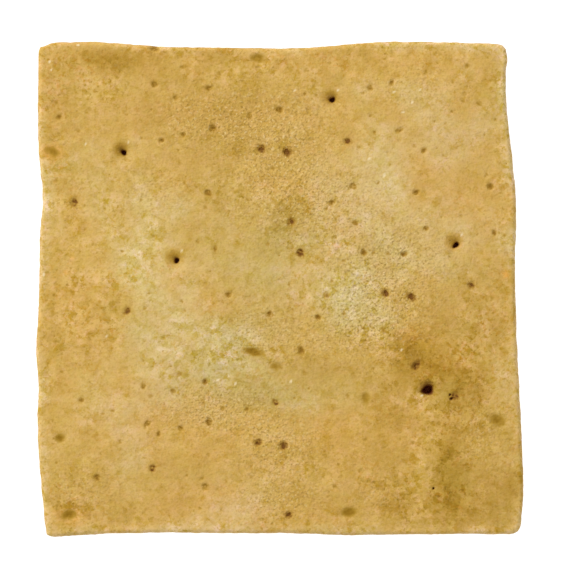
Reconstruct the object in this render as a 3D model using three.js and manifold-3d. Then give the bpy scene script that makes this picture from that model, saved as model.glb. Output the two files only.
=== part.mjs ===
// A thin square rye cracker, lying flat with its docked face up.
// Millimetres. +X is to the right and +Y towards the far side, +Z is up, and the origin is the
// middle of the underside. The cracker is one solid: a rolled sheet with four wavy sides, soft
// corners, a rounded rim, a gently uneven top with shallow dimples, and the docking holes and
// bubble pits that the oven left open.

import * as THREE from 'three';
import { ImprovedNoise } from 'three/addons/math/ImprovedNoise.js';
import { mergeVertices } from 'three/addons/utils/BufferGeometryUtils.js';
import Module from 'manifold-3d';

// Outline, clockwise: the [x, y] places that each side passes through between its two corners.
const FAR_SIDE = [
  [-31.3, 32.45], [-30.4, 32.9], [-28.6, 32.97], [-24, 33], [-15.5, 32.4], [-8, 32.3], [1, 32.2],
  [7, 32.5], [13, 33], [21, 33], [28.6, 32.75],
];
const RIGHT_SIDE = [
  [30.25, 31.4], [30.36, 30.4], [30.15, 28.6], [30.3, 24], [31.15, 16], [31.55, 11], [31.4, 2],
  [31.75, -9], [32.2, -18], [32.5, -27], [32.2, -30.8],
];
const NEAR_SIDE = [
  [30.4, -32.65], [24, -32.6], [18, -32.65], [9, -32.75], [1, -32.5], [-8, -32.5], [-15, -32.4],
  [-24, -32.6], [-30.3, -33],
];
const LEFT_SIDE = [
  [-31.2, -31.9], [-31.9, -25], [-32.3, -18], [-32.15, -13], [-32.5, -8], [-32.15, -2], [-31.95, 7.5],
  [-31.6, 12.5], [-32.2, 20], [-32.15, 31.7],
];
const HALF_WIDTH = 32.5;

// Thickness of the sheet, from the surface it rests on.
const RIM_HEIGHT = 2.5; // top of the sheet just inside the rim
const CROWN = 0.55; // how much higher it stands in the middle
const CROWN_REACH = 13; // from the edge to where the crown is full
const EDGE_HEIGHT = 1.2; // where the side stands out furthest
const TOP_ROUNDING = 0.8; // width of the rounding above that line
const UNDER_ROUNDING = 0.8; // and below it
const CORNER_LIFT = 0.3; // how far the underside leaves the table at the corners
const LIFT_START = 26; // distance from the middle where the lift begins
const LIFT_END = 46; // and where it is full, at the corners

// Uneven surfaces: how high the waves of the dough stand, and how long they are.
const BROAD_WAVES = { height: 0.12, length: 11, layer: 0.5 };
const FINE_WAVES = { height: 0.07, length: 3.6, layer: 7.5 };
const UNDER_HOLLOWS = { height: 0.3, length: 7, layer: 21.5 };

// Flat spots that the underside rests on, [x, y, radius]: one in the middle and one near each
// corner. Between them it stands a little clear of the table.
const RESTING_SPOTS = [[0, 0, 5], [-22, 23, 1.6], [23, 20, 1.6], [22, -23, 1.6], [-23, -21, 1.6]];
const SPOT_FADE = 4; // width over which a spot runs out into the rest of the underside
const CLEARANCE = 0.08;

// Docking holes that stayed open, [x, y], each in a wide shallow dimple.
const OPEN_HOLES = [[6.9, 25.4], [-20.8, 18.4], [-13.8, 4], [23.4, 6.2], [19.6, -13.3]];
const OPEN_HOLE = { radius: 0.52, depth: 2.3, sides: 10 };
const DIMPLE = { radius: 2, depth: 0.3 };

// Pin marks that baked nearly shut, and the larger bubble pits, [x, y].
const CLOSED_HOLES = [
  [23.1, -14.2], [0.8, 18.3], [17.3, -0.9], [0.4, -20.8], [2.7, 5], [1.4, 9.1], [18, -10.1], [14, -0.4],
  [-27.4, 11.7], [-2.5, 18.8], [-3, -20.4], [-20.3, -2.8], [1.1, -30], [9, 19.8], [25.5, 0.6],
  [-17, -23.8],
];
const CLOSED_HOLE = { radius: 0.42, depth: 0.95, sides: 8 };
const BUBBLE_PITS = [
  [-0.6, -15], [0, 24.1], [16.4, 4.8], [18.1, 13], [-10, -12.1], [2.8, -8], [-9.5, -17.6], [-9.6, 27],
  [-9, 21.6], [19.4, 8.2], [20.3, -26.5], [5.1, -3.6], [-10.1, -26.2], [28.1, 13.9], [-17.8, -17.9],
  [15.9, 21.3],
];
const BUBBLE_PIT = { radius: 0.32, depth: 0.45, sides: 6 };

// Section of every hole, as [share of its radius, share of its depth above the floor]. The mouth
// flares, and the section ends a little above the surface so that it cuts through.
const HOLE_SECTION = [[0, 0], [0.55, 0], [0.85, 0.6], [1.05, 1], [1.2, 1.3], [0, 1.3]];

// Wide soft hollows: [x, y, half width, half length, depth].
const SOFT_HOLLOWS = [
  [-3.4, -8.4, 2.4, 1, 0.35],
  [9.1, -29.7, 1.7, 1.1, 0.3],
  [-28, -30.2, 2, 1.3, 0.3],
  [-29.2, -19.9, 1.2, 1.2, 0.25],
  [28.9, -17.5, 1.6, 1.5, 0.25],
  [-2.9, 30.8, 1.5, 1.2, 0.25],
  [11.4, -14.5, 1.3, 1.6, 0.2],
  [-30.3, 18.3, 1.6, 1.2, 0.25],
];

// Mesh: square rings from the middle to the edge, and how far the outermost lie from the edge.
const TOP_RINGS = 28;
const UNDER_RINGS = TOP_RINGS / 2;
const TOP_RIM_STEPS = [0, 0.09, 0.32, 0.85];
const UNDER_RIM_STEPS = [0, 0.3, 0.8];
const CORNER_CROWDING = 0.5; // 0 for even steps along the outline, near 1 for most at the corners
const WELD_DISTANCE = 1e-5;

const CRUST = { color: 0xcba75d, roughness: 0.82, metalness: 0 };

const noise = new ImprovedNoise();
const { lerp, smoothstep } = THREE.MathUtils;

// The closed outline: a corner, then the side after it, four times over.
function makeOutline() {
  const outline = new THREE.CurvePath();
  const sides = [FAR_SIDE, RIGHT_SIDE, NEAR_SIDE, LEFT_SIDE];
  const places = sides.map((side) => side.map((at) => new THREE.Vector2(...at)));
  places.forEach((side, index) => {
    const before = places.at(index - 1).at(-1);
    const after = side[0];
    const risesFirst = index % 2 === 0;
    const corner = risesFirst ? new THREE.Vector2(before.x, after.y) : new THREE.Vector2(after.x, before.y);
    outline.add(new THREE.QuadraticBezierCurve(before, corner, after));
    outline.add(new THREE.SplineCurve(side));
  });
  return outline;
}

// Gives the outline's point at a turn: 0, 1, 2 and 3 are the middles of the corners, clockwise.
function makeOutlineWalk() {
  const outline = makeOutline();
  const ends = outline.getCurveLengths();
  const total = ends.at(-1);
  const cornerMiddles = [0, 1, 2, 3].map((corner) => ((ends[2 * corner - 1] ?? 0) + ends[2 * corner]) / 2);
  cornerMiddles.push(total + cornerMiddles[0]);
  return (turn) => {
    const corner = Math.floor(turn) % 4;
    const share = (turn % 1) - (CORNER_CROWDING * Math.sin(2 * Math.PI * turn)) / (2 * Math.PI);
    const along = lerp(cornerMiddles[corner], cornerMiddles[corner + 1], share);
    return outline.getPoint((along % total) / total);
  };
}

// The turn at which grid place (i, j) lies on its square ring.
function turnOf(i, j, ring) {
  const side = 2 * ring;
  if (j === ring && i < ring) return (i + ring) / side;
  if (i === ring && j > -ring) return 1 + (ring - j) / side;
  if (j === -ring && i > -ring) return 2 + (ring - i) / side;
  return 3 + (j + ring) / side;
}

// Distance from the edge of each ring, counted outwards from the middle.
function ringDepths(rings, rimSteps) {
  const flatRings = rings - rimSteps.length + 1;
  const flatWidth = HALF_WIDTH - rimSteps.at(-1);
  return Array.from({ length: rings + 1 }, (_, ring) =>
    ring <= flatRings ? HALF_WIDTH - (flatWidth * ring) / flatRings : rimSteps[rings - ring]);
}

// Height of a quarter ellipse of the given width, from 0 at the edge to 1.
function rounded(depth, width) {
  const share = Math.max(0, 1 - depth / width);
  return Math.sqrt(1 - share * share);
}

// A soft round-bottomed hollow: 1 in its middle, 0 from its rim outwards.
function bowl(share) {
  return share < 1 ? (1 - share * share) ** 2 : 0;
}

function waves({ height, length, layer }, x, y) {
  return height * noise.noise(x / length, y / length, layer);
}

function cornerLift(x, y) {
  return CORNER_LIFT * smoothstep(Math.hypot(x, y), LIFT_START, LIFT_END);
}

function topHeight(x, y, depth) {
  let sheet = RIM_HEIGHT + CROWN * smoothstep(depth, 0, CROWN_REACH);
  sheet += waves(BROAD_WAVES, x, y) + waves(FINE_WAVES, x, y);
  for (const [holeX, holeY] of OPEN_HOLES) {
    sheet -= DIMPLE.depth * bowl(Math.hypot(x - holeX, y - holeY) / DIMPLE.radius);
  }
  for (const [hollowX, hollowY, halfWidth, halfLength, hollowDepth] of SOFT_HOLLOWS) {
    sheet -= hollowDepth * bowl(Math.hypot((x - hollowX) / halfWidth, (y - hollowY) / halfLength));
  }
  return cornerLift(x, y) + EDGE_HEIGHT + (sheet - EDGE_HEIGHT) * rounded(depth, TOP_ROUNDING);
}

function underHeight(x, y, depth) {
  const awayFromSpots = RESTING_SPOTS.map(([spotX, spotY, radius]) =>
    smoothstep(Math.hypot(x - spotX, y - spotY), radius, radius + SPOT_FADE));
  const away = Math.min(...awayFromSpots);
  const hollow = away * (CLEARANCE + Math.max(0, waves(UNDER_HOLLOWS, x, y)));
  const side = (EDGE_HEIGHT - hollow) * (1 - rounded(depth, UNDER_ROUNDING));
  return away * cornerLift(x, y) + hollow + side;
}

const ringOf = (i, j) => Math.max(Math.abs(i), Math.abs(j));
const nameOf = (i, j) => `${i},${j}`;

// Adds a grid's vertices to the positions, and returns the number of each by its grid place.
function addGrid(positions, outlineAt, { rings, rimSteps, height, lastRing }) {
  const depths = ringDepths(rings, rimSteps);
  const numbers = new Map();
  for (let j = -lastRing; j <= lastRing; j++) {
    for (let i = -lastRing; i <= lastRing; i++) {
      const ring = ringOf(i, j);
      const share = 1 - depths[ring] / HALF_WIDTH;
      const at = ring === 0 ? new THREE.Vector2() : outlineAt(turnOf(i, j, ring)).multiplyScalar(share);
      numbers.set(nameOf(i, j), positions.length / 3);
      positions.push(at.x, at.y, height(at.x, at.y, depths[ring]));
    }
  }
  return numbers;
}

// The corners of every cell, anticlockwise, from the one nearest the middle so that all match.
function cells(rings) {
  const list = [];
  for (let j = -rings; j < rings; j++) {
    for (let i = -rings; i < rings; i++) {
      const corners = [[i, j], [i + 1, j], [i + 1, j + 1], [i, j + 1]];
      const distances = corners.map((at) => Math.hypot(...at));
      const first = distances.indexOf(Math.min(...distances));
      list.push([...corners.slice(first), ...corners.slice(0, first)]);
    }
  }
  return list;
}

// The triangles of a convex cell, all from its first corner.
function fan(corners) {
  return corners.slice(1, -1).flatMap((corner, index) => [corners[0], corner, corners[index + 2]]);
}

// The sheet as one closed mesh: a fine grid above and a coarse one below, which share the edge.
function makeSheet() {
  const outlineAt = makeOutlineWalk();
  const positions = [];
  const top = { rings: TOP_RINGS, rimSteps: TOP_RIM_STEPS, height: topHeight };
  const under = { rings: UNDER_RINGS, rimSteps: UNDER_RIM_STEPS, height: underHeight };
  const topNumbers = addGrid(positions, outlineAt, { ...top, lastRing: TOP_RINGS });
  const underNumbers = addGrid(positions, outlineAt, { ...under, lastRing: UNDER_RINGS - 1 });

  const topNumber = (at) => topNumbers.get(nameOf(...at));
  const topFans = cells(TOP_RINGS).flatMap((corners) => fan(corners.map(topNumber)));

  // A coarse cell on the edge also takes the fine grid's place halfway between its own two.
  const onEdge = (at) => ringOf(...at) === UNDER_RINGS;
  const underFans = cells(UNDER_RINGS).flatMap((corners) => {
    const numbers = corners.flatMap((at, index) => {
      const next = corners[(index + 1) % corners.length];
      if (!onEdge(at)) return [underNumbers.get(nameOf(...at))];
      const own = topNumber([2 * at[0], 2 * at[1]]);
      return onEdge(next) ? [own, topNumber([at[0] + next[0], at[1] + next[1]])] : [own];
    });
    return fan(numbers).reverse();
  });

  const sheet = new THREE.BufferGeometry();
  sheet.setAttribute('position', new THREE.Float32BufferAttribute(positions, 3));
  sheet.setIndex([...topFans, ...underFans]);
  return sheet;
}

// What a pin or a bubble took out of the dough at [x, y].
function makeHole([x, y], { radius, depth, sides }) {
  const fromEdge = HALF_WIDTH - Math.max(Math.abs(x), Math.abs(y));
  const floor = topHeight(x, y, fromEdge) - depth;
  const section = HOLE_SECTION.map(([across, up]) => new THREE.Vector2(across * radius, floor + up * depth));
  const hole = new THREE.LatheGeometry(section, sides);
  hole.rotateX(Math.PI / 2);
  hole.translate(x, y, 0);
  return hole;
}

const wasm = await Module();
wasm.setup();

function toSolid(geometry) {
  geometry.deleteAttribute('normal');
  geometry.deleteAttribute('uv');
  const welded = mergeVertices(geometry, WELD_DISTANCE);
  const vertProperties = Float32Array.from(welded.getAttribute('position').array);
  const triVerts = Uint32Array.from(welded.index.array);
  return new wasm.Manifold(new wasm.Mesh({ numProp: 3, vertProperties, triVerts }));
}

function toGeometry(solid) {
  const mesh = solid.getMesh();
  const geometry = new THREE.BufferGeometry();
  geometry.setAttribute('position', new THREE.BufferAttribute(mesh.vertProperties, mesh.numProp));
  geometry.setIndex(new THREE.BufferAttribute(mesh.triVerts, 1));
  geometry.computeVertexNormals();
  return geometry;
}

function makeCracker() {
  const holes = [
    ...OPEN_HOLES.map((at) => makeHole(at, OPEN_HOLE)),
    ...CLOSED_HOLES.map((at) => makeHole(at, CLOSED_HOLE)),
    ...BUBBLE_PITS.map((at) => makeHole(at, BUBBLE_PIT)),
  ];
  const docked = holes.reduce((solid, hole) => solid.subtract(toSolid(hole)), toSolid(makeSheet()));
  const cracker = new THREE.Mesh(toGeometry(docked), new THREE.MeshStandardMaterial(CRUST));
  cracker.name = 'cracker';
  return cracker;
}

const crackers = new THREE.Group();
crackers.add(makeCracker());

export default crackers;
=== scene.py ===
"""A thin square rye cracker, baked golden, lying on a white table with its docked face up.

The sheet of dough is rolled out as a grid, trimmed to the solid's own sides, rounded at the rim,
docked, pitted and strewn with crumb pits. Its crust is one procedural finish that follows the dough's
relief and the patches where the oven left it paler or darker; light and shade are painted into it round
the holes, along the rim, on the grain and as pale glints. Sizes are in millimetres, and MM makes them metres.
"""

import math
import random

import bpy
import numpy as np
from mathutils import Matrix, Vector, kdtree, noise


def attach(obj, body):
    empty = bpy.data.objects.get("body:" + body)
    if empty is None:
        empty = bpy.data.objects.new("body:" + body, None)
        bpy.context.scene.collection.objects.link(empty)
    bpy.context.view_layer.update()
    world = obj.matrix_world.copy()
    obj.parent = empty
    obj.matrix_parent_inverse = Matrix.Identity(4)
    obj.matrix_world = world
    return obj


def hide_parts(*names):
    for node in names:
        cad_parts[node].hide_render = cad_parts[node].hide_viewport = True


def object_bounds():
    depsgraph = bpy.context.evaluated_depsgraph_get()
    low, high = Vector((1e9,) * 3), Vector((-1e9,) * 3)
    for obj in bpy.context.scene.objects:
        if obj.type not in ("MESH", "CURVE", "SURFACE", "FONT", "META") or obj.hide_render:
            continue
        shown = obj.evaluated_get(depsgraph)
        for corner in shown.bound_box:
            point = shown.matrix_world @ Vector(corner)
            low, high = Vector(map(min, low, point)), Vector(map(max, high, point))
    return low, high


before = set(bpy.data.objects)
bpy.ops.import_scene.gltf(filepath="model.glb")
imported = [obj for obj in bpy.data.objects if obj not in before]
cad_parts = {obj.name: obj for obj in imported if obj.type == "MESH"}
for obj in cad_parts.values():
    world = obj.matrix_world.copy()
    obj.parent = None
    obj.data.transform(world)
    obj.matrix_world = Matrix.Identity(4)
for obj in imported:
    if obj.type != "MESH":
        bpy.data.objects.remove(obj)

MM = 0.001
CRACKER = "cracker"

# The sheet of dough, from the table up.
TRIM_MARGIN = 0.25  # how far the rolled sheet reaches past the solid before it is trimmed
CELLS = 48  # cells along a side when the sheet is rolled
ROUGH_RELAXING = 90  # how often the cells are smoothed after the first trim, and after the second
FINE_RELAXING = 12
SIDE_LOW = 1.0  # where the upright part of the side begins and ends
SIDE_HIGH = 1.4
SIDE_MIDDLE = (SIDE_LOW + SIDE_HIGH) / 2
RIM_HEIGHT = 2.5  # top of the sheet just inside the rim
CROWN = 0.5  # how much higher it stands in the middle
CROWN_REACH = 13  # from the edge to where the crown is full
TOP_ROUNDING = 0.6  # widths of the rounding above the side and below it
UNDER_ROUNDING = 0.8
RIM_BANDS = (0.75, 0.3)  # widths of the bands along the rim that get finer cells
CORNER_LIFT = 0.3  # how far the underside leaves the table at the corners
LIFT_START = 26  # distances from the middle where the lift begins and is full
LIFT_END = 46
RESTING_SPOTS = [(0, 0, 5), (-22, 23, 1.6), (23, 20, 1.6), (22, -23, 1.6), (-23, -21, 1.6)]  # x, y, radius
SPOT_FADE = 4
LEVEL = 0.5  # a face whose normal stands up by more than this lies on the top
LEAST_WEIGHT = 0.0005  # a vertex with less weight is left where it is

# Unevenness of the dough, as the size of its lumps and their height.
WAVES = (9, 0.3)
RIPPLES = (2.6, 0.16)
UNDER_HOLLOWS = (7, 0.35)
RIM_CRUMPLES = [("X", 1.7), ("Y", 1.9), ("X", 0.6), ("Y", 0.65)]  # direction and size of the lumps
RIM_CRUMPLE_HEIGHT = 0.12
RIM_CRUMPLE_REACH = 0.9

# Docking holes that stayed open: (x, y, radius, depth).
OPEN_HOLES = [
    (7.05, 25.2, 0.36, 1.6), (-20.75, 18.25, 0.36, 1.6), (-13.7, 3.8, 0.35, 1.5),
    (23.5, 6.0, 0.38, 1.6), (19.8, -13.35, 0.7, 2.4),
]
DIMPLE_RADIUS = 1.9
DIMPLE_DEPTH = 0.3
WORN_MOUTH = 0.15  # share of a hole's depth that is its worn mouth

# Pin marks that baked nearly shut: (x, y, radius, depth).
CLOSED_HOLES = [
    (23.3, -14.1, 0.56, 0.22), (18.06, -10.22, 0.49, 0.5), (0.85, 18.25, 0.48, 0.34),
    (17.53, -0.97, 0.5, 0.36), (0.54, -20.77, 0.48, 0.35), (2.78, 5.08, 0.42, 0.33),
    (1.57, 8.98, 0.49, 0.3), (14.1, -0.5, 0.46, 0.4), (-27.23, 11.67, 0.43, 0.22),
    (-2.41, 18.58, 0.48, 0.37), (-2.89, -20.39, 0.45, 0.3), (-20.13, -2.78, 0.44, 0.16),
    (1.25, -29.99, 0.5, 0.31), (9.02, 19.78, 0.4, 0.27), (25.53, 0.61, 0.43, 0.26),
    (-16.94, -23.88, 0.39, 0.26), (-0.5, -15.11, 0.37, 0.22),
]

# Narrow pricks within the pin marks: (x, y, radius).
PRICKS = [(22.65, -13.95, 0.15), (22.85, -14.5, 0.18), (20.45, -26.45, 0.15)]
PRICK_DEPTH = 0.6
PRICK_SHADE = 0.5

# Bubble pits: (x, y, radius, depth).
BUBBLE_PITS = [
    (0.07, 23.99, 0.35, 0.39), (16.55, 4.77, 0.34, 0.41), (18.1, 12.87, 0.34, 0.42),
    (-9.89, -12.23, 0.34, 0.39), (2.95, -8.12, 0.42, 0.38), (-9.33, -17.61, 0.42, 0.3),
    (-9.45, 26.83, 0.42, 0.26), (-8.83, 21.43, 0.43, 0.5), (-16.65, 32.15, 0.6, 0.6),
    (11.16, 4.94, 0.34, 0.38), (19.46, 8.12, 0.4, 0.26), (-9.53, 12.93, 0.39, 0.4),
    (5.17, -3.64, 0.38, 0.33), (-1.25, -3.21, 0.32, 0.23), (-16.63, 27.33, 0.41, 0.28),
    (-6.83, -0.72, 0.35, 0.27), (9.83, 13.91, 0.33, 0.22), (-9.93, -26.11, 0.39, 0.29),
    (10.17, 8.78, 0.33, 0.24), (6.97, 11.61, 0.31, 0.26), (-17.71, -17.88, 0.36, 0.23),
    (28.09, 13.74, 0.46, 0.36), (28.57, 7.53, 0.36, 0.32), (-13.24, -18.5, 0.33, 0.26),
    (16.07, 21.2, 0.36, 0.24), (-12.73, 20.57, 0.36, 0.28), (-26.35, -14.73, 0.34, 0.21),
    (14.92, 27.53, 0.37, 0.26), (12.07, 26.73, 0.32, 0.28), (-15.63, 19.83, 0.33, 0.36),
    (-8.63, 5.45, 0.3, 0.13), (-16.07, -19.18, 0.3, 0.23), (-29.33, 22.94, 0.4, 0.2),
    (19.17, 18.43, 0.35, 0.25), (-24.23, -24.88, 0.42, 0.31), (-14.19, -13.52, 0.36, 0.14),
    (-4.38, -15.95, 0.28, 0.18), (-3.93, 22.93, 0.31, 0.21), (26.45, 24.83, 0.36, 0.1),
    (-13.93, 25.53, 0.32, 0.2), (-18.06, -12.9, 0.32, 0.21), (6.24, -0.77, 0.37, 0.15),
]

# How far each flares out past its radius, and how ragged dough tears.
PRICK_FLARE = 1.5
PIN_FLARE = 1.65
PIT_FLARE = 1.7
RAGGED_REACH = 4
TEAR_LENGTH = 0.6
FAR_AWAY = 9.0

# Wide soft hollows: (x, y, half width, half length, turn in degrees, depth, brownness).
SOFT_HOLLOWS = [
    (-3.4, -8.3, 1.9, 0.7, -12, 0.36, 1.7), (-0.5, -10.2, 1.4, 0.8, -8, 0.2, 1.1),
    (9.2, -29.6, 1.5, 0.95, 8, 0.28, 1.5), (-28.0, -30.0, 1.6, 1.0, 20, 0.28, 1.4),
    (-29.2, -19.8, 1.0, 0.75, 15, 0.25, 1.5), (28.9, -17.4, 1.6, 1.15, -25, 0.28, 1.5),
    (-2.9, 30.8, 1.5, 0.9, 0, 0.25, 1.2), (11.4, -14.5, 0.9, 1.3, 0, 0.2, 1.0),
    (-30.3, 18.3, 1.5, 1.0, -20, 0.2, 1.3), (0.7, 10.3, 1.7, 1.3, 30, 0.15, 0.25),
]

# Small pits that nothing else places: how many, their field, and the ranges of their radius and depth.
CRUMB_SEED = 41
CRUMB_PITS = 330
CRUMB_HALF_WIDTH = 31
CRUMB_HALF_LENGTH = 31.6
CRUMB_RADIUS = (0.13, 0.32)
CRUMB_DEPTH = (0.03, 0.12)
CRUMB_SPACING = 1.0

# Painted glints: small pale highlights painted on the crust, most just up and to the right of the open holes:
# (x, y, half length, turn in degrees).
PAINTED_GLINTS = [
    (7.75, 26.5, 0.24, 60), (2.0, 26.5, 0.22, 60), (-20.1, 19.6, 0.24, 60), (-25.8, 19.4, 0.24, 60),
    (-13.0, 5.2, 0.24, 55), (-18.7, 5.0, 0.3, 55), (24.2, 7.3, 0.24, 60), (18.9, -14.1, 0.26, 20),
    (-26.8, 32.5, 0.25, 0), (-30.6, 30.3, 0.25, 80), (-30.4, 29.2, 0.2, 80), (-31.4, 2.0, 0.3, 85),
    (13.9, 15.2, 0.35, 70), (11.9, 17.4, 0.3, 40), (16.2, -8.0, 0.25, 60), (-23.0, -6.2, 0.25, 50),
    (-8.2, -12.0, 0.3, 20), (-5.9, -12.5, 0.3, 70), (-6.8, -11.5, 0.2, 0), (1.5, -12.2, 0.28, 75),
    (15.2, 26.3, 0.26, 30), (17.6, 24.9, 0.3, 70), (16.4, 23.6, 0.24, 10), (18.7, 26.6, 0.22, 50),
]
GLINT_WIDTH = 0.6  # as a share of its length

# How far round each painted glint and hole the cells are divided, as a share of its size, and a little more.
GLINT_REACH = 1.6
HOLE_REACH = 2.0
REACH_MARGIN = 0.1

# Patches of the crust: (x, y, half width, half length, turn in degrees, amount).
PATCH_REACH = 1.5  # a patch fades out at this many times its half width and length
# Tone: 1 is about 13 steps out of 255, paler above 0, browner or more olive below.
PALE_PATCHES = [
    (-18.4, 6, 4.4, 7.4, 8, 2.2), (-15, -6.2, 6, 6.4, 0, 1.9), (-8, -6.2, 5.5, 2.8, 0, 1.7),
    (-25, 10, 5, 5, 0, 0.6), (-9.3, 3.8, 4, 3.4, 0, 0.9), (-18, -9.8, 2.2, 2.2, 0, 1.2),
    (-31, 13, 2, 4, 0, 0.9), (-31.3, -13, 1.6, 2.4, 0, 1.4), (3.6, 6.6, 2.4, 2.2, 0, 1.2),
    (7.8, 13, 2, 2, 0, 1.4), (13.5, -3.4, 2.8, 3.4, 0, 1.0), (18.8, -12, 1.8, 1.8, 0, 1.9),
    (17.5, -25.8, 1.8, 2, 0, 1.6), (7, -32, 2.4, 1.4, 0, 1.5), (30.8, 6.4, 2.2, 2.6, 0, 1.3),
    (30.9, 15.4, 1.6, 2.4, 0, 1.5), (30, 27.5, 3, 4, 0, 0.7), (21.2, 3.6, 2.4, 2.4, 0, 1.2),
    (-14.8, 31, 2, 1.4, 0, 1.0), (-28.6, -3, 1.6, 1.8, 0, 1.2), (-13.8, 11.6, 3, 2.8, 0, 1.3),
    (-12.3, 0.5, 1.6, 1.6, 0, 1.4), (-22, 2, 2.6, 2.6, 0, 0.9), (-2, 1.8, 2.8, 2.4, 0, 0.7),
    (-30, 10, 2.4, 3, 0, 0.8), (-27.9, 16.8, 1.8, 1.6, 0, 1.3), (26.6, 21.8, 2, 2, 0, 1.4),
    (5.8, 26, 2.4, 2, 0, 0.9), (11.5, -16.9, 1.8, 1.6, 0, 1.4), (-13.4, -31.4, 3.2, 1.8, 0, 1.1),
    (17.6, 9.8, 2.6, 2, 0, 0.8), (3.7, -15.5, 2.4, 1.8, 0, 1.0), (-31.6, 21.4, 1.4, 1.8, 0, 1.3),
    (24.3, 29, 1.8, 1.6, 0, 1.2), (14.2, 6, 2.6, 2, 0, 0.7), (-16.5, -1.6, 4, 2, 0, 0.6),
    (-17, 13.5, 2.6, 2.4, 0, 1.0), (-22, -15.5, 6, 4, 0, 1.1), (-13, -14, 5, 4, 0, 0.5),
    (-19, -21.5, 3.4, 3, 0, 1.2), (-6, -29.8, 6, 2.6, 0, 2.5), (13.5, 15.5, 4.2, 6.4, 0, 2.3),
    (9, 8.5, 4, 4.6, 0, 1.0), (9, -1, 4, 4.5, 0, 2.4), (15, 4, 6, 4, 0, 1.3), (23, 21.5, 6, 6, 0, 1.3),
    (18, 26, 3, 2.6, 0, 1.1), (24.5, 8.5, 5.4, 5.4, 0, 1.5), (12, 27, 4, 2.5, 0, 1.0),
    (30.5, 21, 3, 7, 0, 0.8), (29.5, -11.5, 2, 4, 0, 1.0), (-31, 5, 1.8, 3, 0, 1.1),
    (-31.5, -28, 1.8, 3, 0, 1.5), (5.5, 1, 3, 3, 0, 1.0), (4.4, 12, 2.4, 2.8, 0, 1.2),
    (-7.4, -10.4, 3, 2.4, 0, 1.1),
]
BROWN_PATCHES = [
    (18.6, -9.4, 3.6, 4.2, 20, -5.4), (24, -12.8, 3.6, 3.6, 30, -4.4), (22.4, -21.6, 2.6, 4.6, 0, -4.2),
    (23.2, -28, 3.4, 4, 0, -4.2), (15.4, -26.4, 3, 4.6, 0, -2.2), (14.4, -18, 3.2, 3.6, 0, -1.6),
    (29, -27.5, 2.6, 3.6, 0, -2.6), (31.6, -26, 1.6, 2.6, 0, -2.4), (26, -6.5, 4.6, 3.6, 0, -1.4),
    (26.5, -18, 2.6, 3.2, 0, -1.8), (20, -4, 3.5, 3, 0, -1.0), (13.8, -12.4, 2.6, 3.6, 0, -1.7),
    (29.5, 0, 2.8, 3.4, 0, -1.0), (30.6, 10, 1.8, 2.8, 0, -1.2), (1.7, 9.7, 2.8, 2.8, 0, -2.8),
    (-22.5, 30.4, 3.8, 1.8, 0, -3.6), (-17, 31, 3, 1.2, 0, -2.0), (-29, 30, 4, 4, 0, -1.2),
    (-19, 26.4, 6, 5, 0, -1.2), (-27, 23, 3, 3, 0, -1.4), (-9, 31.6, 4.6, 2.2, 0, -1.4),
    (-4, 24.5, 7, 3, 0, -1.2), (-10.5, 20, 6, 4.4, 0, -1.3), (-3, 18.5, 4.5, 3, 0, -0.9),
    (7, 26.4, 2.4, 2.2, 0, -1.6), (-10.5, 13.4, 4.4, 3.4, 0, -0.9), (5.5, -11.5, 5.5, 3, 0, -1.2),
    (9, -21.5, 6, 3.4, 0, -0.9), (3, -27, 3, 2.6, 0, -0.8), (-3, -14.8, 2, 1.6, 0, -1.8),
    (-28.6, -28.6, 3.4, 2.4, 20, -1.4), (-25.5, -25, 2.6, 2.4, 0, -1.2), (-23, -1.4, 3.4, 1.8, 0, -1.3),
    (-30.8, -3.6, 2.2, 4.4, 0, -1.8), (-30.5, 20.5, 1.6, 2, 0, -0.8), (-9.5, -22, 5, 3, 0, -0.7),
    (-25.5, -8, 3, 3, 0, -0.8), (-26.5, 13, 2.4, 2, 0, -0.8), (-31.5, 25.5, 2.4, 3, 0, -1.3),
    (-21.8, -3.8, 3, 2.6, 0, -1.2), (-14.4, 1.6, 2.4, 2, 0, -0.9), (-7, -2.2, 2.2, 1.8, 0, -1.2),
    (-12.5, 26, 3, 2.6, 0, -0.8), (23.6, -3.4, 3.4, 2.8, 0, -0.9), (19.5, -17, 3.6, 2.4, 0, -1.1),
    (20.7, -26, 1.4, 2.4, 0, -1.2), (18.4, -31.6, 3, 2, 0, -1.3), (24.5, 24.6, 2, 1.8, 0, -1.6),
    (25.7, 11.5, 2, 2, 0, -1.4), (5.4, 31.8, 2.2, 1.4, 0, -1.7), (-27.4, 32.2, 2.4, 1.2, 0, -1.3),
    (-14.6, -23.8, 2, 2, 0, -1.2), (10.3, 31.8, 3.4, 2.2, 0, -1.2), (-12.3, -6.8, 1.8, 1.6, 0, -1.5),
    (-21, 8.4, 2.4, 2.4, 0, -1.2), (-9.4, 26.4, 3, 2.4, 0, -0.7), (-11.2, -13.4, 2, 1.6, 0, -1.4),
    (-29, 24, 2.2, 2.2, 0, -1.2), (26.9, -24.4, 1.8, 1.6, 0, -1.5), (14.6, -16.6, 2.2, 2.4, 0, -1.4),
    (-16.8, 23, 3.8, 2.8, 0, -0.8), (24.8, -0.3, 2.4, 2, 0, -1.0), (16.3, -9.4, 1.8, 2.2, 0, -1.2),
    (-26, -7, 2.4, 2, 0, -0.7), (-8.6, 31.6, 3, 1.4, 0, -0.8), (19.6, -14.9, 1.6, 1.4, 0, -1.3),
    (10, -29.6, 2.8, 2.4, 0, -0.8), (22.4, 9.8, 2, 1.8, 0, -0.7),
]
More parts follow.
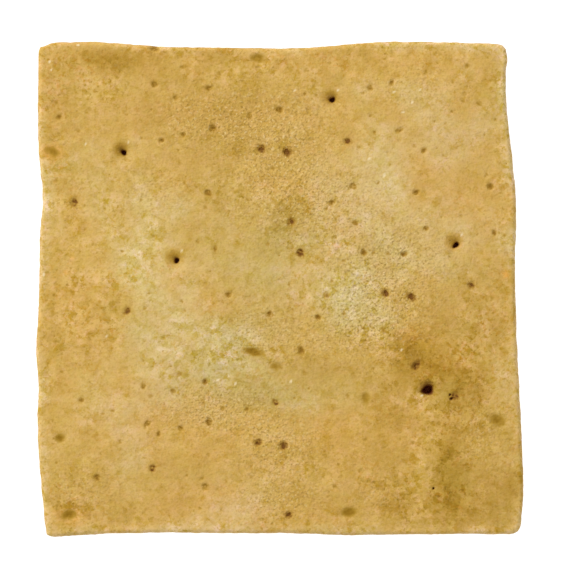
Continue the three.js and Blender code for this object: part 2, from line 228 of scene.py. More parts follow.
# Hue: warmer above 0, cooler and greener below.
HUE_PATCHES = [
    (-7, -10.5, 7, 3.4, 5, -0.75), (-5, -5, 7, 3, 0, -0.45), (1, 8, 5, 4, 0, -0.55),
    (10, -3, 6, 4, 0, -0.3), (-2, 2, 6, 5, 0, -0.6), (22.5, -13.5, 3, 2.6, 0, -0.4),
    (23, -24.5, 3.6, 4, 0, -0.3), (12, 6, 7, 5, 0, -0.25), (-17, -6, 5, 4, 0, -0.2),
    (-2, -14, 5, 2, 0, -0.6), (4, -13, 8, 4, 0, -0.35), (-8, 9, 5, 6, 0, -0.32),
    (-29, 4, 4, 16, 0, 0.1), (-6, 31, 22, 3, 0, 0.15), (-26, 0, 4, 6, 0, 0.12),
    (18, 30, 10, 3, 0, 0.18), (-10, -20, 10, 4, 0, 0.22), (8, -21, 6, 5, 0, 0.3),
    (18.5, -6.4, 3, 1.8, 0, 0.4), (-30.3, 18.3, 1.6, 1, 0, 1.4), (-28, -30, 2.4, 1.5, 0, 0.7),
    (-29.6, -0.6, 1.8, 2, 0, 0.2), (30.1, 2.0, 0.45, 0.5, 0, 1.6), (-27.6, 4.2, 0.35, 0.35, 0, 0.9),
    (-28.4, 2.2, 0.35, 0.35, 0, 0.9), (6.6, -18.6, 2.4, 3, 0, 0.2), (20, -20, 10, 11, 0, 0.26),
    (-5, -29.5, 20, 4, 0, 0.26), (27, 8, 5, 12, 0, 0.12), (22, -9.5, 4, 3, 0, 0.4),
    (-26, 16, 6, 4, 0, -0.25), (-12, -15, 7, 3, 0, -0.25), (26, 2, 3, 2, 0, -0.25),
    (-29, 0, 4, 4, 0, -0.15),
]
# Blush: pinker above 0, more lemon below.
BLUSH_PATCHES = [
    (22, 17, 7, 9, 0, 0.7), (-20, -17, 7, 5, 0, 0.7), (-9, -29, 7, 3.4, 0, 0.9), (10, 10, 4, 6, 0, 0.5),
    (28, -8, 3, 8, 0, 0.1), (-24, -9, 4, 5, 0, 0.2), (-12, -15, 6, 3, 0, 0.4), (-6, 24, 16, 4, 0, 0.4),
    (-19, 3, 5, 9, 0, -0.8), (9, -2, 5, 6, 0, -0.6), (14, 14, 4, 6, 0, -0.2), (21, -22, 6, 9, 0, -0.5),
    (-6, -8, 7, 3, 0, -0.1), (29, -16, 2, 9, 0, -0.4), (-29, -24, 3, 6, 0, -0.4),
    (21, -9, 5, 4, 0, -0.7),
]
# Where the crust is grainy, and where it is blotched with small flecks.
GRAINY_PATCHES = [
    (-10, 23, 6, 4, 0, 0.8), (-1, 21, 8, 6, 0, 1.0), (3, 12, 9, 6, 0, 1.0), (14.5, 3, 8, 7, 0, 1.0),
    (12, -4.5, 7, 5, 0, 1.0), (-1, -6, 8, 4, 0, 0.7), (-8, -16, 8, 3.4, 0, 1.0), (0, -21, 6, 4, 0, 0.9),
    (0, -28, 6, 3, 0, 0.8), (27, -19, 3, 5, 0, 0.5), (-16, 13, 4, 3, 0, 0.4), (17, 27, 6, 3, 0, 0.4),
    (-26, -27, 5, 4, 0, 0.4), (14, -27, 4, 3, 0, 0.4),
]
BLOTCHED_PATCHES = [
    (-27, 28, 6, 5, 0, 1.0), (-30, 10, 3, 14, 0, 0.6), (-20, 6, 6, 9, 0, 0.5), (-26, -4, 5, 6, 0, 0.9),
    (-8, -9, 9, 5, 0, 1.1), (-2, 30, 12, 3, 0, 0.7), (14, -6, 5, 6, 0, 1.0), (22, -14, 7, 8, 0, 1.5),
    (20, -27, 8, 5, 0, 1.4), (27, -4, 4, 7, 0, 0.8), (5, 8, 5, 5, 0, 0.7), (-28, -28, 4, 4, 0, 0.9),
    (7, 1, 7, 5, 0, 0.7), (22, 28, 8, 3, 0, 0.3), (4, -24, 8, 3, 0, 0.4), (-7, 13, 8, 3, 0, 0.4),
]

# Colours that the crust shows, from 0 to 255: first its middle colour.
CRUST = (208, 169, 88)
PALE = (219, 192, 129)
FLOURY = (236, 214, 170)
OLIVE = (180, 139, 47)
BROWN = (138, 98, 27)
HOLLOW_BROWN = (168, 129, 26)
HOLLOW_HEART = (148, 108, 8)
PIT_RIM = (178, 138, 44)
PIT_HEART = (140, 98, 12)
PIN_RIM = (166, 122, 40)
PIN_HEART = (112, 68, 4)
PIN_FLOOR = (150, 104, 50)
# The open holes: browner at the rim, and a heart that is toasted crust darkened further with painted shade.
HOLE_RIM = (142, 98, 38)
HOLE_HEART_TOAST_AND_SHADE = (132, 66, 36)
EDGE = (186, 140, 62)
DARK_SPECK = (150, 112, 34)
# Painted highlights on the grain: pale specks standing for the lit tops of its crumbs.
HIGHLIGHT_SPECK = (236, 210, 152)
# Painted highlight: the pale colour of the glints, and how fully it covers the crust.
GLINT_COLOUR = (244, 222, 176)
GLINT_SHARE = 0.8

# What the crust bakes to as its tone goes from the first number to the second, with the colour.
TONES = [(0, 4, PALE), (4, 8, FLOURY), (0, -6, OLIVE), (-6, -12, BROWN)]

# Stains and painted shade, in the order that they are laid: the mark on the dough, how ragged it is, the size
# of the ragged lumps, and for each colour (share, mark where it begins, mark where it is full, colour).
STAINS_AND_SHADE = [
    ("hollowed", 1.2, 0.8, [(0.85, 0.1, 1.1, HOLLOW_BROWN), (0.9, 0.9, 1.6, HOLLOW_HEART)]),
    ("speckled", 2.5, 0.4, [(0.8, 0.05, 0.5, PIT_RIM), (0.8, 0.35, 0.95, PIT_HEART)]),
    ("brownness", 2.6, 0.4, [
        (0.85, 0.05, 0.45, PIN_RIM), (1, 0.3, 0.8, PIN_HEART), (0.3, 0.8, 1.0, PIN_FLOOR),
    ]),
    # The open holes darken towards their heart, partly as toasted crust and partly as painted shade that
    # deepens with the hole.
    ("opened", 0, 0.4, [(0.9, 0.02, 0.3, HOLE_RIM), (1, 0.2, 0.6, HOLE_HEART_TOAST_AND_SHADE)]),
]

# Flecks: (size, detail, distortion, noise where a fleck begins, noise where it is full).
FLECKS = {
    "blotches": (1.75, 3, 0.2, -0.08, 0.08),
    "smudges": (1.1, 3, 0, 0.03, 0.08),
    "chalk": (0.85, 3, 0.2, 0.04, 0.11),
    "lemon": (0.55, 2, 0.25, 0.04, 0.1),
    "bran": (0.42, 2, 0, 0.1, 0.16),
    "dark specks": (0.33, 0.5, 0, 0.07, 0.2),
    # Pale specks painted as highlights on the grain.
    "highlight specks": (0.37, 0.5, 0, 0.1, 0.22),
}
SPECK_SIZE = 0.5
GRAIN_SIZE = 0.27
GRAIN_HEIGHT = 0.07

# How much each tinge changes red, green and blue, and how dark flecks may go.
FLECK_TINGE = (0.05, 0.062, 0.168)
# The grain's tinge: its own colour, with painted light and shade that follow its bumps.
GRAIN_TINGE_AND_SHADE = (0.056, 0.062, 0.112)
HUE_TINGE = (0.14, 0.0, -0.15)
BLUSH_TINGE = (0.05, -0.05, 0.11)
ZEST_TINGE = (0.02, 0.03, -0.22)
DARKEST = -4.5
DRY_ROUGHNESS = 0.7
CRUST_SHEEN = 0.2

# The table and its light. The crust's paint is divided by the level at which it is lit.
WHITE = (1, 1, 1, 1)
TABLE_GREY = (0.3, 0.3, 0.3, 1)
TABLE_SIZE = 2  # metres
TABLE_GAP = 0.02
LIGHT_LEVEL = 1.06
STUDIO_LIGHT = 0.62
WINDOW_PLACE = (-0.42, 0.42, 0.55)  # metres
WINDOW_SIZE = 0.35  # metres
WINDOW_POWER = 4.4

# The camera.
CAMERA_LENS = 200
SENSOR = 36
VIEW_WIDTH = 75.69  # width of the photographed field at the height of the cracker's side
VIEW_CENTRE = (0.51, 0.81)
NEAREST_SEEN = 0.01  # metres
FARTHEST_SEEN = 10  # metres


def bowl(share):
    """A soft round-bottomed hollow: 1 in its middle, 0 from its rim outwards."""
    return np.where(share < 1, (1 - share**2) ** 2, 0.0)


def smoothstep(value, low, high):
    """0 below low, 1 above high, and soft between them."""
    share = np.clip((value - low) / (high - low), 0, 1)
    return share * share * (3 - 2 * share)


def rounded(depth, width):
    """Height of a quarter ellipse of the given width, from 0 at the edge to 1."""
    share = np.clip(1 - depth / width, 0, 1)
    return np.sqrt(1 - share**2)


def between(limits, share):
    low, high = limits
    return low + share * (high - low)


def distances(places, x=0, y=0):
    """How far each place lies from a point, seen from above."""
    return np.hypot(places[:, 0] - x, places[:, 1] - y)


def turned_share(places, x, y, half_width, half_length, turn):
    """How far each place lies from the middle of a turned ellipse, as a share of its size."""
    across = places[:, 0] - x
    along = places[:, 1] - y
    cosine = math.cos(math.radians(turn))
    sine = math.sin(math.radians(turn))
    width_share = (across * cosine + along * sine) / half_width
    length_share = (along * cosine - across * sine) / half_length
    return np.hypot(width_share, length_share)


def patch_cover(places, patches):
    """The sum of the patches at each place, each soft to its rim."""
    cover = np.zeros(len(places))
    for *shape, amount in patches:
        cover += amount * bowl(turned_share(places, *shape) / PATCH_REACH)
    return cover


def corner_share(places):
    """0 in the middle of the cracker, rising to 1 at its corners."""
    return smoothstep(distances(places), LIFT_START, LIFT_END)


# Hands and tools of the workshop.


def pick(piece):
    bpy.ops.object.select_all(action="DESELECT")
    piece.select_set(True)
    bpy.context.view_layer.objects.active = piece


def face_places(piece):
    """The middle of each face, in millimetres, and its normal."""
    count = len(piece.data.polygons)
    centres = np.zeros(count * 3)
    normals = np.zeros(count * 3)
    piece.data.polygons.foreach_get("center", centres)
    piece.data.polygons.foreach_get("normal", normals)
    return centres.reshape(-1, 3) / MM, normals.reshape(-1, 3)


def vertex_places(piece):
    """Each vertex's place, in millimetres."""
    places = np.zeros(len(piece.data.vertices) * 3)
    piece.data.vertices.foreach_get("co", places)
    return places.reshape(-1, 3) / MM


def every_face(piece):
    return np.ones(len(piece.data.polygons), bool)


def open_faces(piece, chosen):
    """Goes into edit mode with only the chosen faces selected."""
    mesh = piece.data
    mesh.vertices.foreach_set("select", np.zeros(len(mesh.vertices), bool))
    mesh.edges.foreach_set("select", np.zeros(len(mesh.edges), bool))
    mesh.polygons.foreach_set("select", np.ascontiguousarray(chosen, dtype=bool))
    pick(piece)
    bpy.context.tool_settings.mesh_select_mode = (False, False, True)
    bpy.ops.object.mode_set(mode="EDIT")


def close_faces():
    bpy.ops.object.mode_set(mode="OBJECT")


def divide(piece, chosen):
    """Cuts each chosen face in four."""
    open_faces(piece, chosen)
    bpy.ops.mesh.subdivide(number_cuts=1)
    close_faces()


def apply_modifier(piece, kind, weights=None, **settings):
    """Adds a modifier, limits it to the weighted vertices if weights are given, and applies it."""
    modifier = piece.modifiers.new(kind, kind)
    for name, value in settings.items():
        setattr(modifier, name, value)
    if weights is not None:
        group = piece.vertex_groups.new(name="weighted")
        for index in np.flatnonzero(weights > LEAST_WEIGHT):
            group.add([int(index)], float(min(weights[index], 1.0)), "REPLACE")
        modifier.vertex_group = group.name
    pick(piece)
    bpy.ops.object.modifier_apply(modifier=modifier.name)
    piece.vertex_groups.clear()


def raise_dough(piece, weights, height):
    """Lifts each vertex by its weight times the height, or presses it down if the height is below 0."""
    apply_modifier(piece, "DISPLACE", weights, direction="Z", mid_level=0, strength=height * MM)


def crumple(piece, size, height, weights, detail=2, direction="Z", mid_level=0.5):
    """Moves the surface by cloudy noise, with lumps of the given size, read at each vertex's own place."""
    clouds = bpy.data.textures.new(f"dough_clouds_{size}", "CLOUDS")
    clouds.noise_scale = size * MM
    clouds.noise_depth = detail
    apply_modifier(
        piece, "DISPLACE", weights, texture=clouds, texture_coords="GLOBAL",
        direction=direction, mid_level=mid_level, strength=height * MM,
    )


# The sheet of dough.


def roll_sheet(low, high):
    """A flat sheet, trimmed to the solid's sides, then given its thickness and finer cells on top."""
    centre = (low + high) / 2
    margin = 2 * TRIM_MARGIN * MM
    bpy.ops.object.select_all(action="DESELECT")
    bpy.ops.mesh.primitive_grid_add(
        x_subdivisions=CELLS, y_subdivisions=CELLS, size=1,
        location=(centre.x, centre.y, SIDE_MIDDLE * MM),
    )
    sheet = bpy.context.object
    sheet.name = "rye_cracker"
    sheet.data.name = "rye_cracker"
    sheet.scale = (high.x - low.x + margin, high.y - low.y + margin, 1)
    bpy.ops.object.transform_apply(location=True, rotation=True, scale=True)

    raise_dough(sheet, corner_share(vertex_places(sheet)), CORNER_LIFT)
    trim_sides(sheet, ROUGH_RELAXING)
    divide(sheet, every_face(sheet))
    trim_sides(sheet, FINE_RELAXING)

    open_faces(sheet, every_face(sheet))
    bpy.ops.mesh.extrude_region_move(TRANSFORM_OT_translate={"value": (0, 0, (SIDE_HIGH - SIDE_LOW) * MM)})
    close_faces()
    apply_modifier(sheet, "DISPLACE", direction="Z", mid_level=0, strength=-(SIDE_HIGH - SIDE_LOW) / 2 * MM)
    _, normals = face_places(sheet)
    divide(sheet, normals[:, 2] > -LEVEL)
    return sheet


def border_mask(sheet):
    """1 for the vertices of the open border of a flat sheet, 0 for the others."""
    open_faces(sheet, every_face(sheet))
    bpy.ops.mesh.region_to_loop()
    close_faces()
    mask = np.zeros(len(sheet.data.vertices), bool)
    sheet.data.vertices.foreach_get("select", mask)
    return mask.astype(float)


def trim_sides(sheet, relaxing):
    """Brings the border in to the sides of the solid, and lets the cells inside it even out."""
    border = border_mask(sheet)
    apply_modifier(
        sheet, "SHRINKWRAP", border, target=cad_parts[CRACKER], wrap_method="NEAREST_SURFACEPOINT",
    )
    apply_modifier(sheet, "SMOOTH", 1 - border, factor=0.5, iterations=relaxing)


def edge_depths(piece):
    """Each vertex's distance from the nearest place on the cracker's outline, in millimetres."""
    places = vertex_places(piece)
    _, normals = face_places(piece)
    side_faces = np.flatnonzero(np.abs(normals[:, 2]) < LEVEL)
    side_vertices = sorted({vertex for face in side_faces for vertex in piece.data.polygons[face].vertices})
    outline = kdtree.KDTree(len(side_vertices))
    for number, vertex in enumerate(side_vertices):
        outline.insert((places[vertex][0], places[vertex][1], 0), number)
    outline.balance()
    return np.array([outline.find((x, y, 0))[2] for x, y, _ in places])


def crumb_pits():
    """Random small pits that keep clear of each other and of the placed ones."""
    draw = random.Random(CRUMB_SEED)
    taken = [hole[:2] for hole in OPEN_HOLES + CLOSED_HOLES + BUBBLE_PITS]
    pits = []
    while len(pits) < CRUMB_PITS:
        x = draw.uniform(-CRUMB_HALF_WIDTH, CRUMB_HALF_WIDTH)
        y = draw.uniform(-CRUMB_HALF_LENGTH, CRUMB_HALF_LENGTH)
        size = draw.random() ** 2
        if min(math.dist((x, y), other) for other in taken) < CRUMB_SPACING:
            continue
        taken.append((x, y))
        pits.append((x, y, between(CRUMB_RADIUS, size), between(CRUMB_DEPTH, draw.random())))
    return pits


def ragged_share(places, x, y, radius, unevenness):
    """Distance from a hole's middle as a share of its radius, uneven as torn dough is."""
    share = np.full(len(places), FAR_AWAY)
    for index in np.flatnonzero(distances(places, x, y) < RAGGED_REACH * radius):
        across = places[index, 0] - x
        along = places[index, 1] - y
        away = math.hypot(across, along) / radius
        tear = (across / radius / (TEAR_LENGTH + away) + x, along / radius / (TEAR_LENGTH + away) + y, 0)
        share[index] = away * (1 + unevenness * noise.noise(Vector(tear)))
    return share


def hole_wall(share):
    """A pierced hole: full depth over the middle, a sloping wall, and a worn mouth."""
    wall = 1 - smoothstep(share, 0.3, 1.1)
    mouth = 1 - smoothstep(share, 0.5, 1.8)
    return (1 - WORN_MOUTH) * wall + WORN_MOUTH * mouth


def clear_of_spots(places):
    """0 on the flat spots that the cracker rests on, 1 away from them."""
    clear = np.ones(len(places))
    for x, y, radius in RESTING_SPOTS:
        clear = np.minimum(clear, smoothstep(distances(places, x, y), radius, radius + SPOT_FADE))
    return clear


def press_hollows(sheet, places, top):
    """Presses the dimples round the open holes, and the wide soft hollows."""
    dimples = np.zeros(len(places))
    for x, y, *_ in OPEN_HOLES:
        dimples = np.maximum(dimples, bowl(distances(places, x, y) / DIMPLE_RADIUS))
    raise_dough(sheet, top * dimples, -DIMPLE_DEPTH)
    for *shape, hollow_depth, _ in SOFT_HOLLOWS:
        raise_dough(sheet, top * bowl(turned_share(places, *shape)), -hollow_depth)


def ruffle_dough(sheet, top, clear, depth):
    """Lays waves and ripples over the top and hollows underneath, and crumples the rim."""
    inner = smoothstep(depth, 0.1, 1.6)
    crumple(sheet, *WAVES, top * inner)
    crumple(sheet, *RIPPLES, top * inner)
    crumple(sheet, *UNDER_HOLLOWS, (1 - top) * clear * smoothstep(depth, 0.2, 2.5), mid_level=0)
    near_rim = 1 - smoothstep(depth, 0, RIM_CRUMPLE_REACH)
    for direction, size in RIM_CRUMPLES:
        crumple(sheet, size, RIM_CRUMPLE_HEIGHT * size**0.5, near_rim, detail=1, direction=direction)


def pierce_holes(sheet, places, top):
    """Pierces the docking holes and the pricks, and says how open the dough is at each vertex."""
    opened = np.zeros(len(places))
    pierced = np.zeros(len(places))
    for x, y, radius, hole_depth in OPEN_HOLES:
        wall = hole_wall(ragged_share(places, x, y, radius, unevenness=0.6))
        opened = np.maximum(opened, wall)
        pierced = np.maximum(pierced, wall * hole_depth)
    for x, y, radius in PRICKS:
        prick = bowl(ragged_share(places, x, y, PRICK_FLARE * radius, unevenness=0.6))
        opened = np.maximum(opened, PRICK_SHADE * prick)
        pierced = np.maximum(pierced, PRICK_DEPTH * prick)
    raise_dough(sheet, top * pierced / pierced.max(), -pierced.max())
    return opened


def press_pins(sheet, places, top):
    """Presses the pin marks, and says how brown the dough is in them."""
    brownness = np.zeros(len(places))
    for x, y, radius, pin_depth in CLOSED_HOLES:
        shape = bowl(ragged_share(places, x, y, PIN_FLARE * radius, unevenness=0.7))
        raise_dough(sheet, top * shape, -pin_depth)
        brownness = np.maximum(brownness, shape * min(1, 0.4 + 1.4 * pin_depth))
    return brownness


def press_bubbles(sheet, places, top, pits):
    """Presses the bubble pits and the crumb pits, and says how brown the dough is in them."""
    pitted = np.zeros(len(places))
    speckled = np.zeros(len(places))
    for x, y, radius, pit_depth in BUBBLE_PITS + pits:
        shape = bowl(ragged_share(places, x, y, PIT_FLARE * radius, unevenness=0.8))
        pitted = np.maximum(pitted, shape * pit_depth)
        speckled = np.maximum(speckled, shape * min(1, 0.3 + 2.2 * pit_depth))
    raise_dough(sheet, top * pitted, -1)
    return speckled


def refine_cells(sheet, pits):
    """Divides the cells along the rim and round the holes and pits, so that each is evenly round."""
    for width in RIM_BANDS:
        _, normals = face_places(sheet)
        depth = edge_depths(sheet)
        nearest = np.array([min(depth[vertex] for vertex in face.vertices) for face in sheet.data.polygons])
        divide(sheet, (normals[:, 2] > LEVEL) & (nearest < width))
    small = [(x, y, PIT_FLARE * radius) for x, y, radius, *_ in CLOSED_HOLES + BUBBLE_PITS + pits]
    small += [(x, y, GLINT_REACH * length) for x, y, length, _ in PAINTED_GLINTS]
    fine = [(x, y, HOLE_REACH * radius) for x, y, radius, *_ in OPEN_HOLES + CLOSED_HOLES + PRICKS]
    for spots in (small + fine, fine):
        centres, normals = face_places(sheet)
        chosen = np.zeros(len(centres), bool)
        for x, y, reach in spots:
            chosen |= distances(centres, x, y) < reach + REACH_MARGIN
        divide(sheet, chosen & (normals[:, 2] > LEVEL))


def glint_cover(places):
    """1 on the painted glints, 0 off them."""
    cover = np.zeros(len(places))
    for x, y, half_length, turn in PAINTED_GLINTS:
        share = turned_share(places, x, y, half_length, half_length * GLINT_WIDTH, turn)
        cover = np.maximum(cover, 1 - smoothstep(share, 0.5, 1.2))
    return cover


def hollow_cover(places):
    """The brownness of the soft hollows, 0 off them."""
    cover = np.zeros(len(places))
    for *shape, _, brownness in SOFT_HOLLOWS:
        cover = np.maximum(cover, brownness * (1 - smoothstep(turned_share(places, *shape), 0.2, 1.1)))
    return cover


def hole_painted_shade():
    """Painted shade round the holes: darker tone a little up and to the left, where the dimple's wall faces
    away from the lamp.
    """
    tints = [(x - 0.35, y + 0.45, 1.0, 1.0, 0, -7.5) for x, y, *_ in OPEN_HOLES]
    return tints + [(x - 0.1, y + 0.1, 0.7, 0.7, 0, -2.5) for x, y, *_ in CLOSED_HOLES]


def mark(piece, name, values):
    """Stores one number for each vertex, for the finish to read."""
    attribute = piece.data.attributes.new(name, "FLOAT", "POINT")
    attribute.data.foreach_set("value", np.asarray(values, np.float32))


def make_cracker(low, high):
    """Rolls, bakes and marks the one piece of this scene."""
    sheet = roll_sheet(low, high)
    pits = crumb_pits()
    refine_cells(sheet, pits)

    places = vertex_places(sheet)
    top = (places[:, 2] > SIDE_MIDDLE + CORNER_LIFT * corner_share(places)) * 1.0
    depth = edge_depths(sheet)
    clear = clear_of_spots(places)
    raise_dough(sheet, top * rounded(depth, TOP_ROUNDING), RIM_HEIGHT - SIDE_HIGH)
    raise_dough(sheet, top * smoothstep(depth, 0, CROWN_REACH), CROWN)
    raise_dough(sheet, (1 - top) * rounded(depth, UNDER_ROUNDING), -SIDE_LOW)
    raise_dough(sheet, (1 - top) * (1 - clear) * corner_share(places), -CORNER_LIFT)
    press_hollows(sheet, places, top)
    ruffle_dough(sheet, top, clear, depth)
    opened = pierce_holes(sheet, places, top)
    brownness = press_pins(sheet, places, top)
    speckled = press_bubbles(sheet, places, top, pits)

    mark(sheet, "rim", depth)
    # How open the dough is; it sets the holes' toasting and painted shade.
    mark(sheet, "opened", top * opened)
    mark(sheet, "brownness", top * brownness)
    mark(sheet, "speckled", top * speckled)
    # Marks where the pale glints, painted highlights, go.
    mark(sheet, "painted_glint", top * glint_cover(places))
    mark(sheet, "hollowed", top * hollow_cover(places))
    tone = patch_cover(places, PALE_PATCHES + BROWN_PATCHES)
    # The tone mark also carries the painted shade round the holes, on top only.
    mark(sheet, "tone", tone + top * patch_cover(places, hole_painted_shade()))
    mark(sheet, "hue", patch_cover(places, HUE_PATCHES))
    mark(sheet, "blush", patch_cover(places, BLUSH_PATCHES))
    mark(sheet, "grainy", patch_cover(places, GRAINY_PATCHES))
    mark(sheet, "blotched", patch_cover(places, BLOTCHED_PATCHES))
    pick(sheet)
    bpy.ops.object.shade_smooth()
    return sheet


# Finishes.


class Wire:
    """One output of a node, with a shader's arithmetic for numbers that change over the surface."""

    def __init__(self, finish, socket):
        self.finish = finish
        self.socket = socket

    def _with(self, operation, first, second):
        return self.finish.node("ShaderNodeMath", {"operation": operation}, {0: first, 1: second})

    def __add__(self, other):
        return self._with("ADD", self, other)

    def __radd__(self, other):
        return self._with("ADD", other, self)

    def __sub__(self, other):
        return self._with("SUBTRACT", self, other)

    def __rsub__(self, other):
        return self._with("SUBTRACT", other, self)

    def __mul__(self, other):
        return self._with("MULTIPLY", self, other)

    def __rmul__(self, other):
        return self._with("MULTIPLY", other, self)

    def at_least(self, other):
        return self._with("MAXIMUM", self, other)

    def at_most(self, other):
        return self._with("MINIMUM", self, other)


class Finish:
    """A material, and the one way of adding a node to it."""

    def __init__(self, name):
        self.material = bpy.data.materials.new(name)
        self.material.use_nodes = True
        self.tree = self.material.node_tree
        self.tree.nodes.clear()

    def node(self, kind, settings=None, inputs=None, output=0):
        node = self.tree.nodes.new(kind)
        for name, value in (settings or {}).items():
            setattr(node, name, value)
        for name, value in (inputs or {}).items():
            if isinstance(value, Wire):
                self.tree.links.new(value.socket, node.inputs[name])
            else:
                node.inputs[name].default_value = value
        return Wire(self, node.outputs[output]) if node.outputs else node

    def place(self):
        return self.node("ShaderNodeTexCoord", output="Object")

    def marked(self, name):
        return self.node("ShaderNodeAttribute", {"attribute_name": name}, output="Fac")

    def noise(self, place, size, detail=0.0, distortion=0.0):
        """Soft noise about 0, with lumps about size millimetres across, unlike the noise of other sizes."""
        shift = (size, 0.4 * size, 0)
        own_place = self.node("ShaderNodeVectorMath", {"operation": "ADD"}, {0: place, 1: shift})
        inputs = {"Vector": own_place, "Scale": 1 / (size * MM), "Detail": detail, "Distortion": distortion}
        return self.node("ShaderNodeTexNoise", {"noise_dimensions": "3D"}, inputs) - 0.5

    def ramp(self, value, low, high):
        """0 below low, 1 above high, and soft between them."""
        inputs = {"Value": value, "From Min": low, "From Max": high}
        return self.node("ShaderNodeMapRange", {"interpolation_type": "SMOOTHSTEP"}, inputs)

    def rise(self, value, start, end):
        """0 at start, 1 at end, and straight between them."""
        return self.node("ShaderNodeMapRange", None, {"Value": value, "From Min": start, "From Max": end})

    def blend(self, share, first, second):
        settings = {"data_type": "RGBA", "blend_type": "MIX"}
        return self.node("ShaderNodeMix", settings, {0: share, 6: first, 7: second}, output=2)

    def paint(self, share, colour, shown):
        """Lays a colour, as it shows from 0 to 255, over another one."""
        return self.blend(share, colour, crust_colour(shown))

    def tinge(self, colour, amount, strengths):
        """Multiplies red, green and blue by 1 and the amount times their strengths."""
        settings = {"operation": "MULTIPLY_ADD"}
        factors = self.node("ShaderNodeVectorMath", settings, {0: strengths, 1: amount, 2: (1, 1, 1)})
        return self.node("ShaderNodeVectorMath", {"operation": "MULTIPLY"}, {0: colour, 1: factors})

    def show(self, inputs):
        """Gives the material its one shell, and returns the material."""
        shell = self.node("ShaderNodeBsdfPrincipled", None, inputs)
        self.node("ShaderNodeOutputMaterial", None, {"Surface": shell})
        return self.material


def crust_colour(shown):
    """The paint for a colour that the crust shows under the table's light, from 0 to 255."""
    linear = [(c / 255 / 12.92) if c <= 10 else ((c / 255 + 0.055) / 1.055) ** 2.4 for c in shown]
    return (*(value / LIGHT_LEVEL for value in linear), 1.0)


def baked_crust():
    finish = Finish("baked_rye_crust")
    place = finish.place()
    rim = finish.marked("rim")
    grainy = finish.marked("grainy").at_most(1)
    specks = finish.noise(place, SPECK_SIZE, detail=1)
    grain = finish.noise(place, GRAIN_SIZE)
    flecks = fleck_shapes(finish, place)
    busy = fleck_strength(finish, place, rim)

    colour = oven_tone(finish, place, rim)
    flecked = 3.2 * flecks["blotches"] - 3.2 * flecks["smudges"]
    flecked = flecked + 2.0 * flecks["chalk"] - 2.7 * flecks["lemon"] - 0.5
    colour = finish.tinge(colour, (busy * flecked).at_least(DARKEST), FLECK_TINGE)
    # Paler on the grain's raised tops and darker in its hollows, from the same noise as the bump: painted
    # light and shade with the grain's own colour, and darker bran.
    grain_tone_and_shade = (1.7 + 2.8 * grainy) * specks + (1.0 + 2.4 * grainy) * grain - 3.8 * busy * flecks["bran"]
    colour = finish.tinge(colour, grain_tone_and_shade.at_least(DARKEST), GRAIN_TINGE_AND_SHADE)
    colour = turn_hues(finish, place, colour, busy, flecks)
    colour = finish.paint((0.15 + 0.4 * grainy) * flecks["dark specks"], colour, DARK_SPECK)
    # Painted highlights: pale specks on the grain, most on the grainy patches.
    colour = finish.paint((0.06 + 0.36 * grainy) * flecks["highlight specks"], colour, HIGHLIGHT_SPECK)
    colour = stain_and_shade_holes(finish, place, colour)
    edge = (1 - finish.ramp(rim, 0.0, 0.22)) * (0.4 + 1.4 * finish.noise(place, 2.2, detail=2))
    colour = finish.paint(edge.at_least(0), colour, EDGE)

    relief = (0.5 + 0.9 * grainy) * grain + (0.9 + 1.3 * grainy) * specks - 0.1 * flecks["bran"]
    grainy_normal = finish.node(
        "ShaderNodeBump", None, {"Strength": 1.0, "Distance": GRAIN_HEIGHT * MM, "Height": relief},
    )
    return finish.show({
        "Base Color": colour, "Roughness": DRY_ROUGHNESS - 0.25 * specks, "Normal": grainy_normal,
        "Specular IOR Level": CRUST_SHEEN,
    })


def fleck_shapes(finish, place):
    """Each kind of fleck as a pattern that is 1 inside the flecks and 0 between them."""
    shapes = {}
    for name, (size, detail, distortion, low, high) in FLECKS.items():
        shapes[name] = finish.ramp(finish.noise(place, size, detail, distortion), low, high)
    return shapes


def fleck_strength(finish, place, rim):
    """How strong the flecks are: most on blotched patches and near the rim, least on the upright side."""
    near_rim = 1 - finish.ramp(rim, 0.5, 3.5)
    wall = 1 - finish.ramp(rim, 0.0, 0.15)
    clumps = 1 + 2.5 * finish.noise(place, 2.6, detail=1)
    blotched = finish.marked("blotched").at_most(1.5)
    return (0.42 + 0.58 * blotched.at_least(0.6 * near_rim)) * clumps * (1 - 0.55 * wall)


def oven_tone(finish, place, rim):
    """The broad colour of the crust, from floury through golden to olive and brown, with painted light along
    the rim and the painted shade round the holes that the tone mark carries.
    """
    tone = 1.35 * finish.marked("tone") + 3.0 * finish.noise(place, 3.7)
    # Painted light: the crust is painted paler along the rim, against the shade of its rounding.
    tone = tone + 1.2 * (1 - finish.ramp(rim, 0.3, 1.6))
    tone = tone - 0.6 * finish.ramp(rim, 1, 2) * (1 - finish.ramp(rim, 4, 7))
    colour = crust_colour(CRUST)
    for start, end, shown in TONES:
        colour = finish.paint(finish.rise(tone, start, end), colour, shown)
    return colour


def turn_hues(finish, place, colour, busy, flecks):
    """Turns the crust warmer or greener, pinker or more lemon, broadly and fleck by fleck."""
    lemon = flecks["lemon"]
    chalk = flecks["chalk"]
    hue = finish.marked("hue") + 0.3 * finish.noise(place, 4.6, detail=1)
    hue = hue + busy * (0.25 * lemon - 0.1 * chalk)
    colour = finish.tinge(colour, hue, HUE_TINGE)
    blush = 0.4 * finish.marked("blush") + 0.5 * finish.noise(place, 3.1)
    blush = blush + busy * (0.4 * chalk + (2.0 * finish.noise(place, 4.2) + 0.05) * lemon)
    blush = blush + 1.2 * finish.noise(place, 0.75, detail=1)
    colour = finish.tinge(colour, blush, BLUSH_TINGE)
    zest = 1.4 * finish.noise(place, 1.4, detail=1) + busy * (0.35 * lemon - 0.3 * chalk)
    return finish.tinge(colour, zest, ZEST_TINGE)


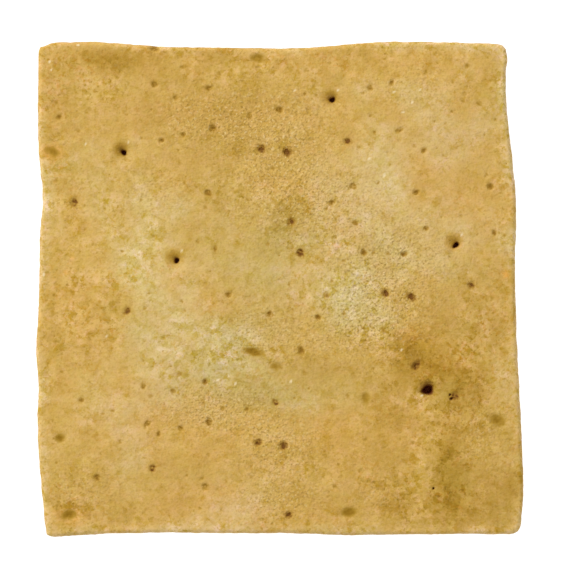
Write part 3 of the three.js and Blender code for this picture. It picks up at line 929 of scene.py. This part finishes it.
def stain_and_shade_holes(finish, place, colour):
    """Browns the hollows, pits and pin marks from rim to heart, darkens the holes with toasting and painted
    shade, and lays on the painted glints.
    """
    for name, raggedness, size, stains in STAINS_AND_SHADE:
        marked = finish.marked(name)
        if raggedness:
            marked = marked * (1 + raggedness * finish.noise(place, size, detail=1))
        for share, low, high, shown in stains:
            colour = finish.paint(share * finish.ramp(marked, low, high), colour, shown)
    # Painted highlight: the pale glints.
    return finish.paint(GLINT_SHARE * finish.marked("painted_glint"), colour, GLINT_COLOUR)


def table_top():
    """A table that glows a little, so that it shows white round the cracker."""
    return Finish("white_table").show({
        "Base Color": TABLE_GREY, "Roughness": 0.9, "Specular IOR Level": 0.1,
        "Emission Color": WHITE, "Emission Strength": 1.0,
    })


# The table, the light and the camera.


def set_table():
    bpy.ops.object.select_all(action="DESELECT")
    bpy.ops.mesh.primitive_plane_add(size=TABLE_SIZE, location=(0, 0, -TABLE_GAP * MM))
    table = bpy.context.object
    table.name = "table"
    table.data.materials.append(table_top())


def hang_lamp(name, place, size, power):
    """A square soft lamp that faces the cracker."""
    bpy.ops.object.light_add(type="AREA", location=place)
    lamp = bpy.context.object
    lamp.name = name
    lamp.data.size = size
    lamp.data.energy = power
    lamp.rotation_euler = (-Vector(place)).to_track_quat("-Z", "Y").to_euler()


def light_table():
    world = bpy.data.worlds.new("studio")
    world.use_nodes = True
    background = world.node_tree.nodes["Background"]
    background.inputs["Color"].default_value = WHITE
    background.inputs["Strength"].default_value = STUDIO_LIGHT
    bpy.context.scene.world = world
    hang_lamp("window", WINDOW_PLACE, WINDOW_SIZE, WINDOW_POWER)


def place_camera():
    """Looks straight down, from where the photographed field fills the picture."""
    height = VIEW_WIDTH * CAMERA_LENS / SENSOR * MM + SIDE_MIDDLE * MM
    bpy.ops.object.camera_add(location=(VIEW_CENTRE[0] * MM, VIEW_CENTRE[1] * MM, height), rotation=(0, 0, 0))
    camera = bpy.context.object
    camera.name = "camera"
    camera.data.lens = CAMERA_LENS
    camera.data.sensor_width = SENSOR
    camera.data.clip_start = NEAREST_SEEN
    camera.data.clip_end = FARTHEST_SEEN
    bpy.context.scene.camera = camera
    bpy.context.scene.view_settings.view_transform = "Standard"


cad_low, cad_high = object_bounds()
place_camera()
light_table()
set_table()
cracker = make_cracker(cad_low, cad_high)
cracker.data.materials.append(baked_crust())
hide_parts(CRACKER)
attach(cracker, "root")
